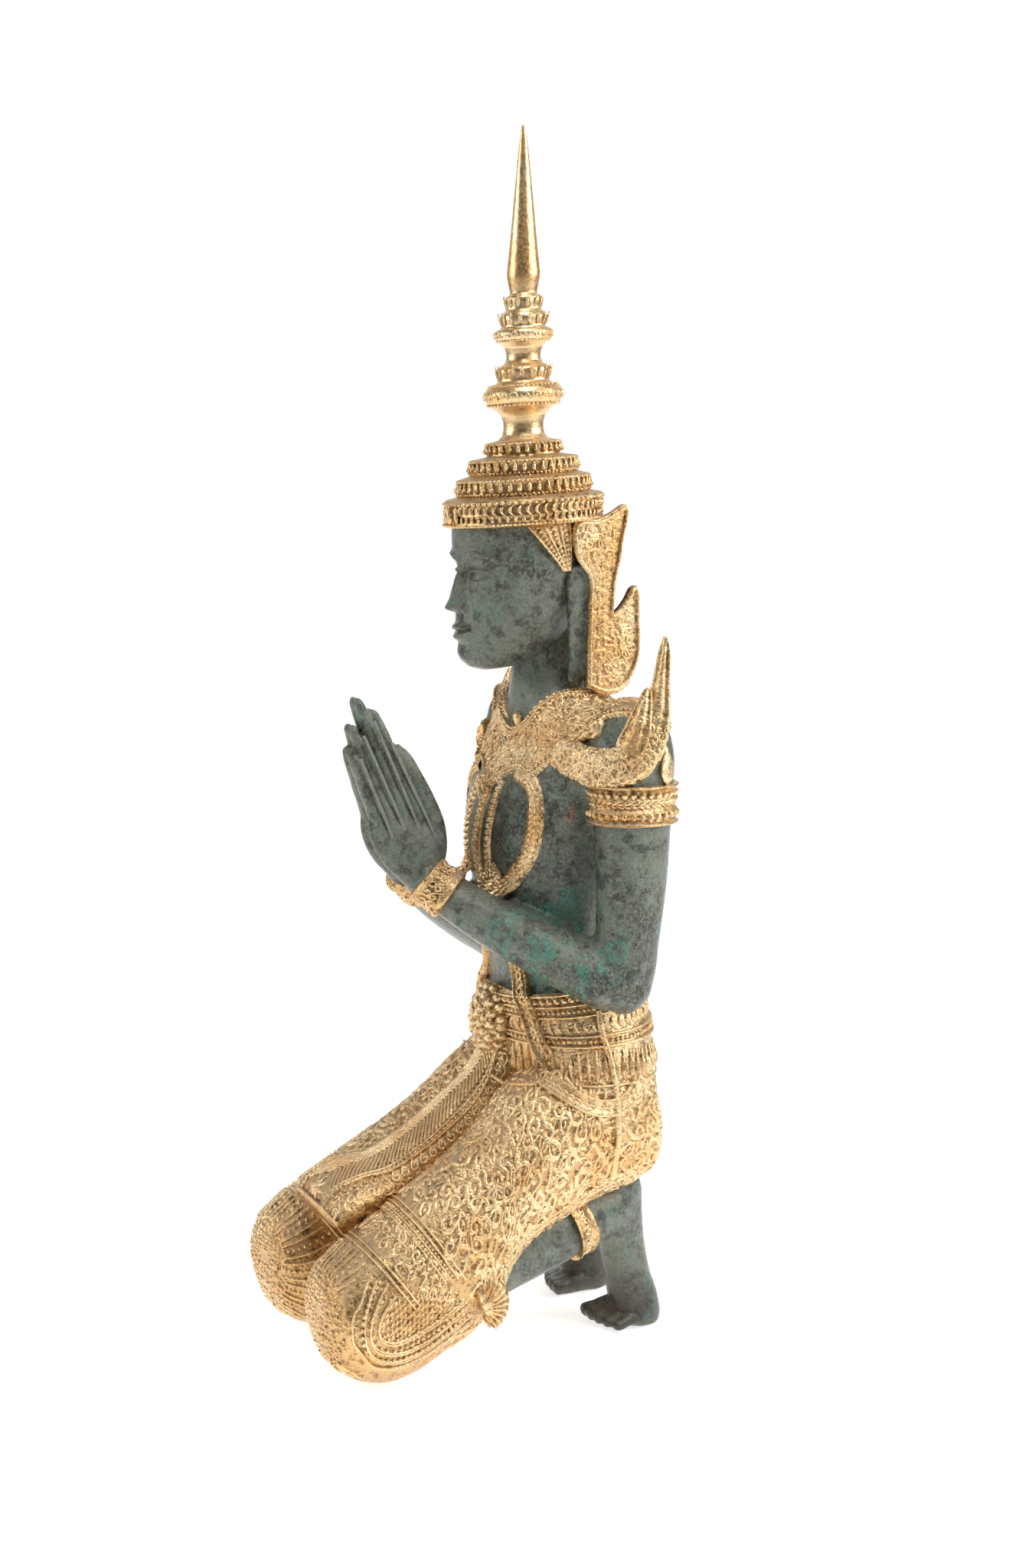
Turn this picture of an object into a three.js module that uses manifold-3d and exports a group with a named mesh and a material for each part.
// A kneeling figure in prayer, cast in bronze in one piece: court dress, a tall stepped crown,
// flame ornaments behind the ears and upswept wings on the shoulders. It rests on its knees and toes.
// Millimetres, +Z up. The figure faces -Y with its left hand on +X. The origin is on the floor,
// under the centre of the bounding box.
import * as THREE from "three";
import { mergeVertices } from "three/addons/utils/BufferGeometryUtils.js";
import Module from "manifold-3d";

const wasm = await Module();
wasm.setup();

// Driving dimensions
const TOTAL_HEIGHT = 600;
const CROWN_AXIS_Y = 33;
const CROWN_TILT = 0.068; // rise of the crown's rings towards the back, per millimetre
const NECK_Y = 48;
const NECK_RADIUS = 16.5;
const HEAD_CENTRE_Z = 384;
const HEAD_CENTRE_Y = 35;
const SHOULDER_X = 61;
const SHOULDER_Y = 62;
const ELBOW_X = 60;
const WRIST_X = 12;
const KNEE_X = 40;
const FOOT_X = 28;
const TRUNK_SIDES = 16;
const THIGH_SIDES = 14;
const LIMB_SIDES = 10;
const SMALL_SIDES = 8;
const FINGER_SIDES = 6;
const CORD_SIDES = 5;
const CROWN_SIDES = 18;

const vec = (x, y, z) => new THREE.Vector3(x, y, z);
const lerp = THREE.MathUtils.lerp;

// A closed geometry as a solid with its faces pointing out.
function solid(geometry) {
  const bare = geometry.clone();
  bare.deleteAttribute("normal");
  bare.deleteAttribute("uv");
  const merged = mergeVertices(bare, 1e-4);
  const points = merged.getAttribute("position").array;
  const corner = (i) => vec(points[3 * i], points[3 * i + 1], points[3 * i + 2]);
  const faces = [];
  let volume = 0;
  for (let i = 0; i < merged.index.count; i += 3) {
    const [a, b, c] = merged.index.array.slice(i, i + 3);
    if (a === b || b === c || c === a) continue;
    faces.push([a, b, c]);
    volume += corner(a).dot(corner(b).cross(corner(c)));
  }
  const outward = volume > 0 ? faces : faces.map(([a, b, c]) => [a, c, b]);
  const mesh = new wasm.Mesh({
    numProp: 3,
    vertProperties: new Float32Array(points),
    triVerts: new Uint32Array(outward.flat()),
  });
  return new wasm.Manifold(mesh);
}

// A solid as a geometry that a mesh can show.
function geometryOf(shape) {
  const mesh = shape.getMesh();
  const geometry = new THREE.BufferGeometry();
  geometry.setAttribute("position", new THREE.BufferAttribute(mesh.vertProperties, 3));
  geometry.setIndex(new THREE.BufferAttribute(mesh.triVerts, 1));
  geometry.computeVertexNormals();
  return geometry;
}

const joined = (solids) => solids.reduce((whole, next) => whole.add(next));

// A closed skin over rings of equal point counts: a sphere whose rows are moved onto the rings and
// whose poles close the two ends.
function skin(rings) {
  const sides = rings[0].length;
  const pole = (ring) => ring.reduce((sum, spot) => sum.add(spot), vec(0, 0, 0)).divideScalar(sides);
  const rows = [Array(sides).fill(pole(rings[0])), ...rings, Array(sides).fill(pole(rings.at(-1)))];
  const sphere = new THREE.SphereGeometry(1, sides, rows.length - 1);
  const position = sphere.getAttribute("position");
  rows.forEach((ring, row) => {
    for (let side = 0; side <= sides; side++) {
      const spot = ring[side % sides];
      position.setXYZ(row * (sides + 1) + side, spot.x, spot.y, spot.z);
    }
  });
  return sphere;
}

const count = (length, make) => Array.from({ length }, (_, i) => make(i));

// A ring of points on a rounded outline: power 2 is an ellipse, more is squarer.
function outline(sides, halfWide, halfDeep, power, place) {
  const bend = (value) => Math.sign(value) * Math.abs(value) ** (2 / power);
  return count(sides, (side) => {
    const turn = ((side + 0.5) / sides) * 2 * Math.PI;
    return place(halfWide * bend(Math.cos(turn)), halfDeep * bend(Math.sin(turn)));
  });
}

const smooth = (points) => new THREE.CatmullRomCurve3(points, false, "centripetal");

// A limb along a curve. Each station is [x, y, z, half width, half depth]; the width lies square to
// the curve, towards the given side.
function limb(stations, { sides = LIMB_SIDES, rows = stations.length, power = 2, side = vec(1, 0, 0) } = {}) {
  const spine = smooth(stations.map(([x, y, z]) => vec(x, y, z)));
  const sizes = smooth(stations.map(([, , , wide, deep]) => vec(wide, deep, 0)));
  return skin(count(rows, (row) => {
    const t = row / (rows - 1);
    const deepWay = spine.getTangent(t).cross(side).normalize();
    const wideWay = deepWay.clone().cross(spine.getTangent(t)).normalize();
    const size = sizes.getPoint(t);
    return outline(sides, size.x, size.y, power, (wide, deep) =>
      spine.getPoint(t).addScaledVector(wideWay, wide).addScaledVector(deepWay, deep));
  }));
}

// A form drawn from its side view: each rib is [top y, top z, bottom y, bottom z, centre x, half width].
function ribbed(ribs, sides, power) {
  return skin(ribs.map(([topY, topZ, lowY, lowZ, x, halfWide]) =>
    outline(sides, halfWide, 0.5, power, (wide, up) =>
      vec(x + wide, lerp(lowY, topY, up + 0.5), lerp(lowZ, topZ, up + 0.5)))));
}

// Slices stacked upwards, each [z, centre y, half width, half depth, squareness, rise to the back].
function stacked(slices, sides) {
  return skin(slices.map(([z, y, halfWide, halfDeep, power, rise = 0]) =>
    outline(sides, halfWide, halfDeep, power, (wide, deep) => vec(wide, y + deep, z + rise * deep))));
}

// A flat plate cut to an edge of [y, z] points, standing at x and turned about its upright middle line.
function plate(edge, x, thickness, turn) {
  const shape = new THREE.Shape(edge.map(([y, z]) => new THREE.Vector2(y, z)));
  const middle = edge.reduce((sum, [y]) => sum + y, 0) / edge.length;
  const geometry = new THREE.ExtrudeGeometry(shape, { depth: thickness, bevelEnabled: false });
  geometry.translate(-middle, 0, -thickness / 2);
  const along = new THREE.Matrix4().makeBasis(vec(0, 1, 0), vec(0, 0, 1), vec(1, 0, 0));
  geometry.applyMatrix4(along).rotateZ(turn).translate(x, middle, 0);
  return geometry;
}

// A cord along a curve, with flat ends.
function cord(points, radius, rows) {
  const stations = points.map(([x, y, z]) => [x, y, z, radius, radius]);
  return limb(stations, { sides: CORD_SIDES, rows, side: vec(0.2, 0.3, 0.93) });
}

const ball = (radii, [x, y, z], sides, rows) =>
  solid(new THREE.SphereGeometry(1, sides, rows).scale(...radii).translate(x, y, z));

const mirrored = (shape) => shape.mirror([1, 0, 0]);
const bothSides = (shape) => [shape, mirrored(shape)];

// Trunk: hips, belt with its three rims, waist, chest, and the collar with its stepped edge
const BELT_RISE = -0.1;
const COLLAR_RISE = 0.12;
const TRUNK_SLICES = [
  [80, 65, 42, 28, 2.2],
  [95, 62.5, 54, 38, 2.3],
  [122, 60, 58.5, 41.5, 2.3],
  [146, 58.5, 52, 39.5, 2.2],
  [147, 58.5, 54.5, 42, 2.2, BELT_RISE],
  [152, 58, 53.5, 41, 2.2, BELT_RISE],
  [153, 58, 51, 39, 2.2, BELT_RISE],
  [168, 55.5, 47.6, 38.6, 2.1, BELT_RISE],
  [172, 54.5, 46, 37.5, 2.1, BELT_RISE],
  [182, 52, 41, 35, 2, BELT_RISE],
  [183, 52, 43, 37, 2, BELT_RISE],
  [188, 50.5, 42, 36, 2, BELT_RISE],
  [189, 50.5, 37, 32, 2, BELT_RISE],
  [206, 46.5, 36, 31.5, 2],
  [228, 44.5, 39, 34, 2.2],
  [254, 44.5, 44, 37.5, 2.4],
  [278, 48, 49, 35, 2.5],
  [292, 51.5, 51, 31.5, 2.5, COLLAR_RISE],
  [293, 51.5, 54, 34, 2.5, COLLAR_RISE],
  [306, 54, 56, 29, 2.4, COLLAR_RISE],
  [315, 54, 52, 24, 2.2, COLLAR_RISE],
  [321, 52, 38, 21.5, 2, COLLAR_RISE],
  [327, 49, 22, 20, 2, COLLAR_RISE],
  [328, 49, 16, 16, 2, COLLAR_RISE],
];

function trunk() {
  const body = solid(stacked(TRUNK_SLICES, TRUNK_SIDES));
  const neck = solid(limb([
    [0, NECK_Y + 1, 314, NECK_RADIUS, NECK_RADIUS],
    [0, NECK_Y, 334, NECK_RADIUS, NECK_RADIUS],
    [0, NECK_Y - 3, 360, NECK_RADIUS, NECK_RADIUS],
  ]));
  return [body, neck];
}

function pendant() {
  const stations = [[0, 24, 312, 18, 6], [0, 15.5, 296, 15, 5.5], [0, 11, 283, 3, 4.5]];
  return solid(limb(stations, { sides: SMALL_SIDES, power: 3 }));
}

// The buckle is a boss ringed by studs.
const BUCKLE = { y: 20, z: 160, halfWide: 13, halfHigh: 16, studs: 6, studRadius: 4 };

function buckle() {
  const boss = ball([BUCKLE.halfWide, 10, BUCKLE.halfHigh], [0, BUCKLE.y, BUCKLE.z], 10, 6);
  const studs = count(BUCKLE.studs, (i) => {
    const turn = (i / BUCKLE.studs) * 2 * Math.PI;
    const x = (BUCKLE.halfWide - 4) * Math.cos(turn);
    const z = BUCKLE.z + (BUCKLE.halfHigh - 5) * Math.sin(turn);
    return ball([BUCKLE.studRadius, BUCKLE.studRadius, BUCKLE.studRadius], [x, BUCKLE.y - 7, z], 6, 3);
  });
  return [boss, ...studs];
}

// A garland hangs from the collar round each breast, and a strap runs down over the belt to the hip.
function garlands() {
  const loop = cord(
    [
      [14, 12, 290], [14, 8, 275], [13, 6, 257], [16, 7, 242], [25, 9, 235], [34, 14, 242], [38, 18, 262],
      [37, 20, 282], [34, 23, 294],
    ],
    3.4,
    9,
  );
  const strap = cord(
    [[20, 20, 204], [27, 20, 186], [33, 23, 168], [40, 25, 150], [54, 42, 138], [59, 62, 136], [57, 78, 142]],
    3.2,
    7,
  );
  return [...bothSides(solid(loop)), ...bothSides(solid(strap))];
}

// Head: an egg with a calm, plain face. The face looks to -Y, and height runs from -1 at the chin to
// 1 at the crown's base.
const HEAD_HALF_HIGH = 45;
const HEAD_ROWS = 12;
const HEAD_SIDES = 18;

function bump(away, height, atAway, atHeight, awaySpread, heightSpread) {
  const across = (away - atAway) / awaySpread;
  const up = (height - atHeight) / heightSpread;
  return Math.exp(-across * across - up * up);
}

function faceRelief(away, height) {
  const nose = 6.5 * bump(away, height, 0, -0.3, 0.16, 0.12) + 3.5 * bump(away, height, 0, -0.12, 0.14, 0.18);
  const lips = 2.4 * bump(away, height, 0, -0.56, 0.3, 0.08);
  const chin = 3 * bump(away, height, 0, -0.82, 0.34, 0.14);
  const brow = 1.5 * bump(away, height, 0.42, 0.12, 0.28, 0.09);
  const eye = 2.4 * bump(away, height, 0.4, -0.04, 0.22, 0.1);
  return nose + lips + chin + brow - eye;
}

function head() {
  const rings = count(HEAD_ROWS, (row) => {
    const height = -Math.cos((Math.PI * (row + 1)) / (HEAD_ROWS + 1));
    const ring = Math.sqrt(1 - height * height) ** 0.85;
    const jaw = lerp(1, 0.72, THREE.MathUtils.smoothstep(-height, 0.05, 1));
    return count(HEAD_SIDES, (side) => {
      const turn = (side / HEAD_SIDES) * 2 * Math.PI; // 0 faces front
      const away = Math.min(turn, 2 * Math.PI - turn);
      const halfDeep = Math.cos(turn) > 0 ? 36 * lerp(1, jaw, 0.6) : 32 * jaw;
      const relief = faceRelief(away, height) * Math.min(1, ring * 2);
      const x = Math.sin(turn) * (29 * ring * jaw + relief);
      const y = HEAD_CENTRE_Y + 3 * height - Math.cos(turn) * (halfDeep * ring + relief);
      return vec(x, y, HEAD_CENTRE_Z + HEAD_HALF_HIGH * height);
    });
  });
  return solid(skin(rings));
}

function ear() {
  return solid(limb(
    [[27, 46, 390, 3.5, 6], [28.5, 47.5, 376, 4, 7], [29, 48.5, 358, 3.4, 5.5], [25.5, 49, 333, 2.4, 4]],
    { sides: SMALL_SIDES },
  ));
}

// Two flames stand one behind the other behind each ear.
function earFlame() {
  const edge = [
    [50, 330], [72, 327], [78, 338], [80, 352], [78, 379], [73, 371], [66, 364], [67, 384], [70, 402],
    [72, 419], [64, 413], [52, 409], [55, 392], [55, 352],
  ];
  return solid(plate(edge, 31, 5, -0.12));
}

// A turned body whose ringed edges are cut into leaves: every second point of a leaf row is lower.
function turned(profile, sides) {
  const lathe = new THREE.LatheGeometry(profile.map(([radius, z]) => new THREE.Vector2(radius, z)), sides);
  const position = lathe.getAttribute("position");
  for (let side = 1; side <= sides; side += 2) {
    profile.forEach(([, , leaf = 0], row) => {
      const i = side * profile.length + row;
      position.setY(i, position.getY(i) - leaf);
    });
  }
  lathe.rotateX(Math.PI / 2);
  for (let i = 0; i < position.count; i++) {
    position.setZ(i, position.getZ(i) + CROWN_TILT * position.getY(i));
  }
  return lathe.translate(0, CROWN_AXIS_Y, 0);
}

// Crown rings from the brow up: [radius, bottom z, top z, leaf depth, inset of the step above].
const BROW_RINGS = [
  [40.2, 412.5, 422, 1.6, 5],
  [33.6, 425.5, 431.5, 2.2, 5],
  [27.3, 434.2, 440.6, 2.2, 7],
  [19.2, 442.2, 448.2, 2, 6],
];
const KNOB_RINGS = [
  [19.9, 468.2, 475.6, 0, 6],
  [14.8, 479.4, 484.6, 1.6, 5],
];
const TOP_RINGS = [
  [15, 498, 502.6, 1.4, 4],
  [13, 505.8, 510.8, 1.4, 4],
  [10.1, 513.8, 518.8, 1.2, 3],
];
const ringProfile = ([radius, bottom, top, leaf, inset]) => [
  [radius - 1, bottom],
  [radius, top, leaf],
  [radius - inset, top + 0.6],
];

function crown() {
  const profile = [
    [0, 409.5],
    [37.6, 410],
    ...BROW_RINGS.flatMap(ringProfile),
    [9.8, 455],
    [10.6, 461.5],
    ...KNOB_RINGS.flatMap(ringProfile),
    [8.4, 490],
    [9.6, 494.5],
    ...TOP_RINGS.flatMap(ringProfile),
    [6.6, 520.6],
    [8.2, 529],
    [1, TOTAL_HEIGHT - 1],
    [0, TOTAL_HEIGHT],
  ];
  return solid(turned(profile, CROWN_SIDES));
}

// The upper arm wears a band between two rims.
function arm() {
  const upper = solid(limb([
    [SHOULDER_X - 9, SHOULDER_Y - 2, 321, 8, 10],
    [SHOULDER_X - 3, SHOULDER_Y - 1, 313, 16, 18],
    [SHOULDER_X - 1, SHOULDER_Y, 300, 19, 21],
    [SHOULDER_X, SHOULDER_Y, 290.4, 17.5, 20],
    [SHOULDER_X, SHOULDER_Y, 290, 20.5, 23.4],
    [SHOULDER_X, SHOULDER_Y, 285, 19.5, 22.4],
    [SHOULDER_X, SHOULDER_Y, 270, 19, 21.8],
    [SHOULDER_X, SHOULDER_Y, 266, 20, 22.8],
    [SHOULDER_X, SHOULDER_Y, 265.6, 17, 20],
    [SHOULDER_X, 62, 238, 15.5, 18],
    [ELBOW_X, 60, 206, 14, 16.5],
    [ELBOW_X, 58, 182, 13, 14.5],
    [ELBOW_X, 58, 172, 8, 8],
  ]));
  const side = vec(1, 0.6, 0.5);
  const forearm = solid(limb(
    [
      [ELBOW_X, 67, 182, 9, 9],
      [ELBOW_X, 55, 187, 13.5, 15.5],
      [49, 35.5, 197.5, 14, 16.5],
      [35.5, 15, 209.5, 13.2, 15.4],
      [18, -12, 227, 11.2, 12.2],
      [17, -13.2, 228, 13, 14],
      [WRIST_X - 1, -21.5, 234.5, 11.6, 13.6],
      [WRIST_X - 2, -22.7, 235.5, 9.4, 11.8],
      [7, -29, 242, 7, 11],
    ],
    { side },
  ));
  return [upper, forearm];
}

// One hand of the pair pressed together: a palm, four fingers and the thumb beside them.
const HAND_X = 5.6;
const FINGERS = [
  // knuckle y, z, tip y, z, half width
  [-48, 268, -59.5, 303, 3.5],
  [-42, 270, -58.5, 314, 3.9],
  [-35.5, 272, -56, 325.5, 4.1],
  [-28.5, 273, -49, 320, 3.9],
];

function hand() {
  const palm = solid(limb(
    [
      [9, -26, 236, 6.5, 10],
      [6.8, -29, 246, 6.4, 14.5],
      [6.2, -34, 260, 6, 17.5],
      [5.8, -39, 273, 5.4, 16.5],
      [5.2, -42, 281, 4, 12],
    ],
    { sides: 10 },
  ));
  const fingers = FINGERS.map(([baseY, baseZ, tipY, tipZ, half]) => solid(limb(
    [
      [HAND_X, baseY, baseZ - 8, 4.6, half],
      [HAND_X - 1.2, lerp(baseY, tipY, 0.65), lerp(baseZ, tipZ, 0.65), 3.9, half * 0.92],
      [HAND_X - 2.4, tipY, tipZ, 2.4, half * 0.5],
    ],
    { sides: FINGER_SIDES },
  )));
  const thumb = solid(limb(
    [
      [HAND_X, -19, 254, 4.6, 6],
      [HAND_X - 0.5, -20, 270, 4.6, 5.6],
      [HAND_X - 1.2, -28, 286, 4.2, 4.6],
      [HAND_X - 2, -37, 302, 2.4, 2.6],
    ],
    { sides: FINGER_SIDES },
  ));
  return [palm, ...fingers, thumb];
}

// A wing sweeps up from the back of each shoulder, over an oval tab.
function shoulderWing() {
  const wing = solid(limb(
    [
      [44, 34, 302, 3, 7],
      [58, 42, 294, 4, 8.5],
      [71, 51, 294, 4, 9.5],
      [77, 61, 301, 4.5, 10],
      [76, 66, 315, 4.5, 8.5],
      [75, 68.5, 332, 4, 6],
      [75, 70.5, 346, 2.8, 3.6],
      [76, 71, 355, 0.8, 1],
    ],
    { sides: SMALL_SIDES, power: 2.6, side: vec(1, -0.9, 0.1) },
  ));
  return [wing, ball([9, 5, 10], [58, 82, 296], 8, 4)];
}

// The near end of each thigh is the knee, and the trouser leg closes round the calf in a cuff.
function thigh() {
  const ribs = [
    [-96, 46, -96, 34, KNEE_X + 1, 9],
    [-93, 55, -94, 20, KNEE_X + 1, 22],
    [-84.5, 65, -84, 7, KNEE_X + 1, 29],
    [-71, 76, -69, -1.6, KNEE_X + 1, 30.5],
    [-55, 86, -53, -1.2, KNEE_X, 31],
    [-38, 95, -34, 8, KNEE_X - 1, 31],
    [-20, 106, -12, 20, KNEE_X - 3, 31],
    [-2, 120, 6, 48, KNEE_X - 6, 31],
    [16, 137, 32, 62, KNEE_X - 9, 31],
    [42, 152, 58, 71, KNEE_X - 12, 31],
    [66, 152, 78, 75, KNEE_X - 14, 28],
    [86, 136, 93, 88, KNEE_X - 17, 20],
  ];
  const cuff = limb(
    [[KNEE_X + 1, -22, 39, 28, 16], [KNEE_X, -8, 43.5, 26, 15], [KNEE_X, 0, 46, 20, 12]],
    { sides: 12 },
  );
  return [solid(ribbed(ribs, THIGH_SIDES, 2.1)), solid(cuff)];
}

// The calf leads up to the heel, with an anklet round it.
function shin() {
  return solid(limb([
    [KNEE_X, -30, 40, 18, 18],
    [KNEE_X, 4, 49, 15, 15.5],
    [KNEE_X - 2.6, 38, 57.6, 13, 14.5],
    [KNEE_X - 2.8, 38.4, 57.8, 15, 16.5],
    [KNEE_X - 4.2, 47.2, 59.4, 14.6, 16],
    [KNEE_X - 4.4, 47.6, 59.6, 12.6, 14],
    [KNEE_X - 7, 66, 64, 11, 12.5],
    [KNEE_X - 8, 78, 68, 8, 8],
  ]));
}

// The foot stands on its toes: the sole is upright and faces back, the toes lie flat, pointing forward.
const TOES = { count: 5, pitch: 5.9, tipY: 58.5, rootY: 78 };

function foot() {
  const sole = solid(limb(
    [
      [KNEE_X - 9, 73, 80, 8, 9],
      [KNEE_X - 9, 72, 62, 10.5, 13],
      [KNEE_X - 10, 75, 42, 10.5, 12],
      [FOOT_X + 1, 79, 24, 12, 12],
      [FOOT_X, 84, 8, 14.5, 12.5],
      [FOOT_X, 84, -2, 14.5, 12],
    ],
    { sides: 10 },
  ));
  const toes = count(TOES.count, (k) => {
    const x = FOOT_X + (k - 2) * TOES.pitch;
    const tip = TOES.tipY + 0.4 * k * k;
    const thick = 4.6 - 0.35 * k;
    return solid(limb(
      [[x, TOES.rootY, 3.4, 3.6, 5], [x, lerp(tip, TOES.rootY, 0.25), 3.4, 3.4, thick], [x, tip, 2.2, 2, 2.4]],
      { sides: FINGER_SIDES },
    ));
  });
  return [sole, ...toes];
}

// The apron runs down over both thighs and ends over the knees in a stepped hem.
function apron() {
  const ribs = [
    [24, 178, 34, 168, 0, 9],
    [19, 158, 34, 140, 0, 15],
    [8, 137, 28, 112, 0, 18],
    [-9, 123, 6, 92, 0, 20],
    [-32, 106, -26, 76, 0, 21],
    [-50, 97, -46, 70, 0, 23],
    [-62, 95, -58, 70, 0, 27],
    [-80, 86, -74, 70, 0, 30],
    [-83, 81, -80, 70, 0, 30],
  ];
  return solid(ribbed(ribs, 12, 3.2));
}

function figure() {
  const left = [...arm(), ...hand(), ...shoulderWing(), ...thigh(), shin(), ...foot(), ear(), earFlame()];
  const middle = [...trunk(), pendant(), ...buckle(), ...garlands(), head(), crown(), apron()];
  const aboveFloor = new THREE.BoxGeometry(400, 400, 2 * TOTAL_HEIGHT).translate(0, 0, TOTAL_HEIGHT);
  return joined([...left, ...left.map(mirrored), ...middle]).intersect(solid(aboveFloor));
}

const bronze = new THREE.MeshStandardMaterial({ color: 0x9a7d42, roughness: 0.5, metalness: 0.9 });
const geometry = geometryOf(figure());
geometry.computeBoundingBox();
const box = geometry.boundingBox;
const middle = box.getCenter(vec(0, 0, 0));
geometry.translate(-middle.x, -middle.y, -box.min.z);

const casting = new THREE.Mesh(geometry, bronze);
casting.name = "kneeling_figure";

const group = new THREE.Group();
group.add(casting);

export default group;
